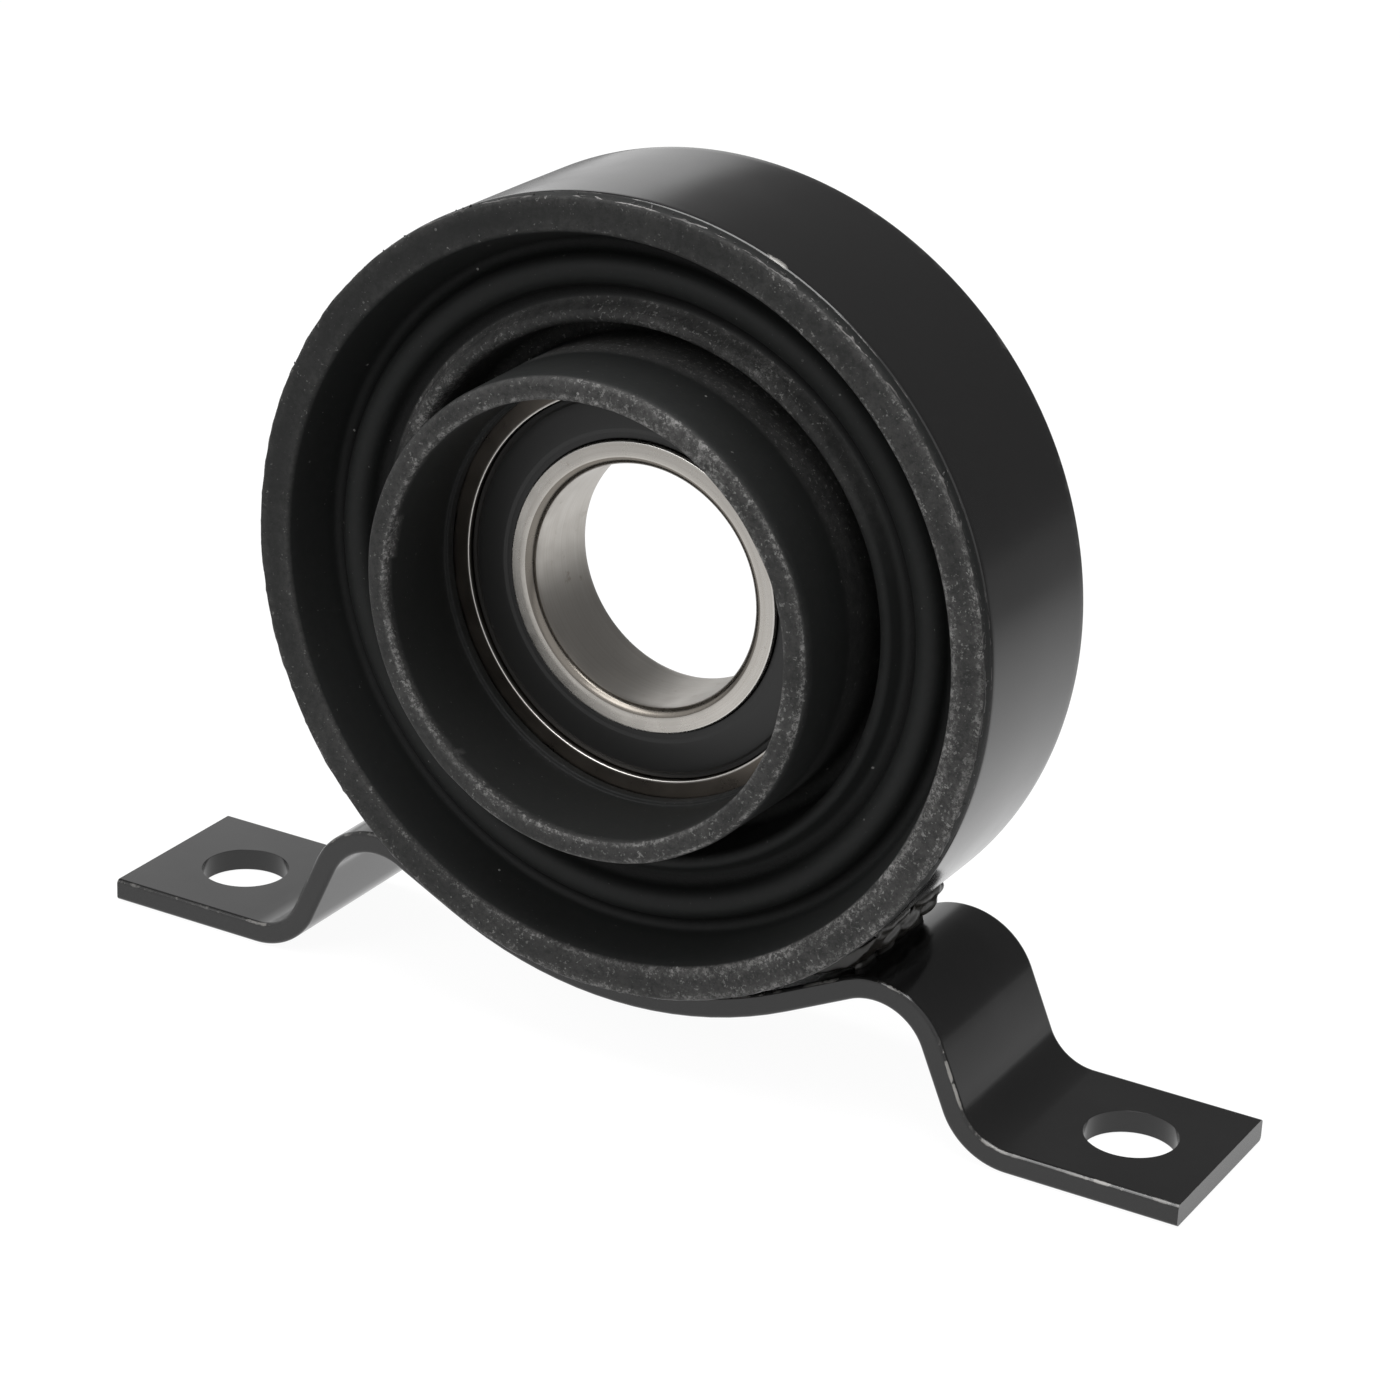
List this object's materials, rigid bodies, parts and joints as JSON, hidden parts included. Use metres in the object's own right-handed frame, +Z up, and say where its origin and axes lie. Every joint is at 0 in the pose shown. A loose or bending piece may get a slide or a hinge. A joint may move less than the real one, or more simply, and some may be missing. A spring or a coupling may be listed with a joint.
{
  "type": "driveshaft centre bearing",
  "caption": "Driveshaft centre support: a sealed ball bearing held in a moulded rubber cushion, inside a short steel can welded on a bent mounting strap with a bolt hole in each foot.",
  "frame": {"origin": "middle of the bounding box at its bottom, on the plane of the feet's undersides", "axes": "+X along the strap from foot to foot, +Y along the shaft axis towards the rear, +Z up from the feet to the can"},
  "size_m": [0.151, 0.0364, 0.1093],
  "materials": {
    "black_paint": "semi-gloss",
    "weld_metal": "gloss over a lumpy bead",
    "rubber": "matte",
    "seal_rubber": "satin",
    "ground_steel": "fine ground",
    "ball_steel": "polished",
    "cage_steel": "pressed sheet"
  },
  "bodies": {
    "housing": {"mounting_strap": "black_paint", "outer_can": "black_paint", "weld_bead_right": "weld_metal", "weld_bead_left": "weld_metal", "rubber_cushion": "rubber", "outer_race": "ground_steel", "front_seal": "seal_rubber", "rear_seal": "seal_rubber"},
    "inner": {"inner_race": "ground_steel"},
    "cage": {"cage_front": "cage_steel", "cage_rear": "cage_steel", "rivet_01": "cage_steel", "rivet_02": "cage_steel", "rivet_03": "cage_steel", "rivet_04": "cage_steel", "rivet_05": "cage_steel", "rivet_06": "cage_steel", "rivet_07": "cage_steel", "rivet_08": "cage_steel", "rivet_09": "cage_steel", "rivet_10": "cage_steel", "rivet_11": "cage_steel"},
    "ball_01": {"ball_01": "ball_steel"},
    "ball_02": {"ball_02": "ball_steel"},
    "ball_03": {"ball_03": "ball_steel"},
    "ball_04": {"ball_04": "ball_steel"},
    "ball_05": {"ball_05": "ball_steel"},
    "ball_06": {"ball_06": "ball_steel"},
    "ball_07": {"ball_07": "ball_steel"},
    "ball_08": {"ball_08": "ball_steel"},
    "ball_09": {"ball_09": "ball_steel"},
    "ball_10": {"ball_10": "ball_steel"},
    "ball_11": {"ball_11": "ball_steel"}
  },
  "joints": [
    {"name": "inner_race_spin", "type": "hinge", "parent": "housing", "child": "inner", "pos_m": [0, 0.0024, 0.0603], "axis": [0, 1, 0], "continuous": true},
    {"name": "cage_spin", "type": "hinge", "parent": "housing", "child": "cage", "pos_m": [0, 0.0024, 0.0603], "axis": [0, 1, 0], "continuous": true},
    {"name": "ball_01_roll", "type": "hinge", "parent": "cage", "child": "ball_01", "pos_m": [0.02125, 0.0024, 0.0603], "axis": [0, 1, 0], "continuous": true},
    {"name": "ball_02_roll", "type": "hinge", "parent": "cage", "child": "ball_02", "pos_m": [0.01788, 0.0024, 0.04881], "axis": [0, 1, 0], "continuous": true},
    {"name": "ball_03_roll", "type": "hinge", "parent": "cage", "child": "ball_03", "pos_m": [0.00883, 0.0024, 0.04097], "axis": [0, 1, 0], "continuous": true},
    {"name": "ball_04_roll", "type": "hinge", "parent": "cage", "child": "ball_04", "pos_m": [-0.00302, 0.0024, 0.03927], "axis": [0, 1, 0], "continuous": true},
    {"name": "ball_05_roll", "type": "hinge", "parent": "cage", "child": "ball_05", "pos_m": [-0.01392, 0.0024, 0.04424], "axis": [0, 1, 0], "continuous": true},
    {"name": "ball_06_roll", "type": "hinge", "parent": "cage", "child": "ball_06", "pos_m": [-0.02039, 0.0024, 0.05431], "axis": [0, 1, 0], "continuous": true},
    {"name": "ball_07_roll", "type": "hinge", "parent": "cage", "child": "ball_07", "pos_m": [-0.02039, 0.0024, 0.06629], "axis": [0, 1, 0], "continuous": true},
    {"name": "ball_08_roll", "type": "hinge", "parent": "cage", "child": "ball_08", "pos_m": [-0.01392, 0.0024, 0.07636], "axis": [0, 1, 0], "continuous": true},
    {"name": "ball_09_roll", "type": "hinge", "parent": "cage", "child": "ball_09", "pos_m": [-0.00302, 0.0024, 0.08133], "axis": [0, 1, 0], "continuous": true},
    {"name": "ball_10_roll", "type": "hinge", "parent": "cage", "child": "ball_10", "pos_m": [0.00883, 0.0024, 0.07963], "axis": [0, 1, 0], "continuous": true},
    {"name": "ball_11_roll", "type": "hinge", "parent": "cage", "child": "ball_11", "pos_m": [0.01788, 0.0024, 0.07179], "axis": [0, 1, 0], "continuous": true}
  ],
  "couplings": [
    {"joint": "cage_spin", "follows": "inner_race_spin", "ratio": 0.41595},
    {"joint": "ball_01_roll", "follows": "inner_race_spin", "ratio": -2.8905},
    {"joint": "ball_02_roll", "follows": "inner_race_spin", "ratio": -2.8905},
    {"joint": "ball_03_roll", "follows": "inner_race_spin", "ratio": -2.8905},
    {"joint": "ball_04_roll", "follows": "inner_race_spin", "ratio": -2.8905},
    {"joint": "ball_05_roll", "follows": "inner_race_spin", "ratio": -2.8905},
    {"joint": "ball_06_roll", "follows": "inner_race_spin", "ratio": -2.8905},
    {"joint": "ball_07_roll", "follows": "inner_race_spin", "ratio": -2.8905},
    {"joint": "ball_08_roll", "follows": "inner_race_spin", "ratio": -2.8905},
    {"joint": "ball_09_roll", "follows": "inner_race_spin", "ratio": -2.8905},
    {"joint": "ball_10_roll", "follows": "inner_race_spin", "ratio": -2.8905},
    {"joint": "ball_11_roll", "follows": "inner_race_spin", "ratio": -2.8905}
  ]
}
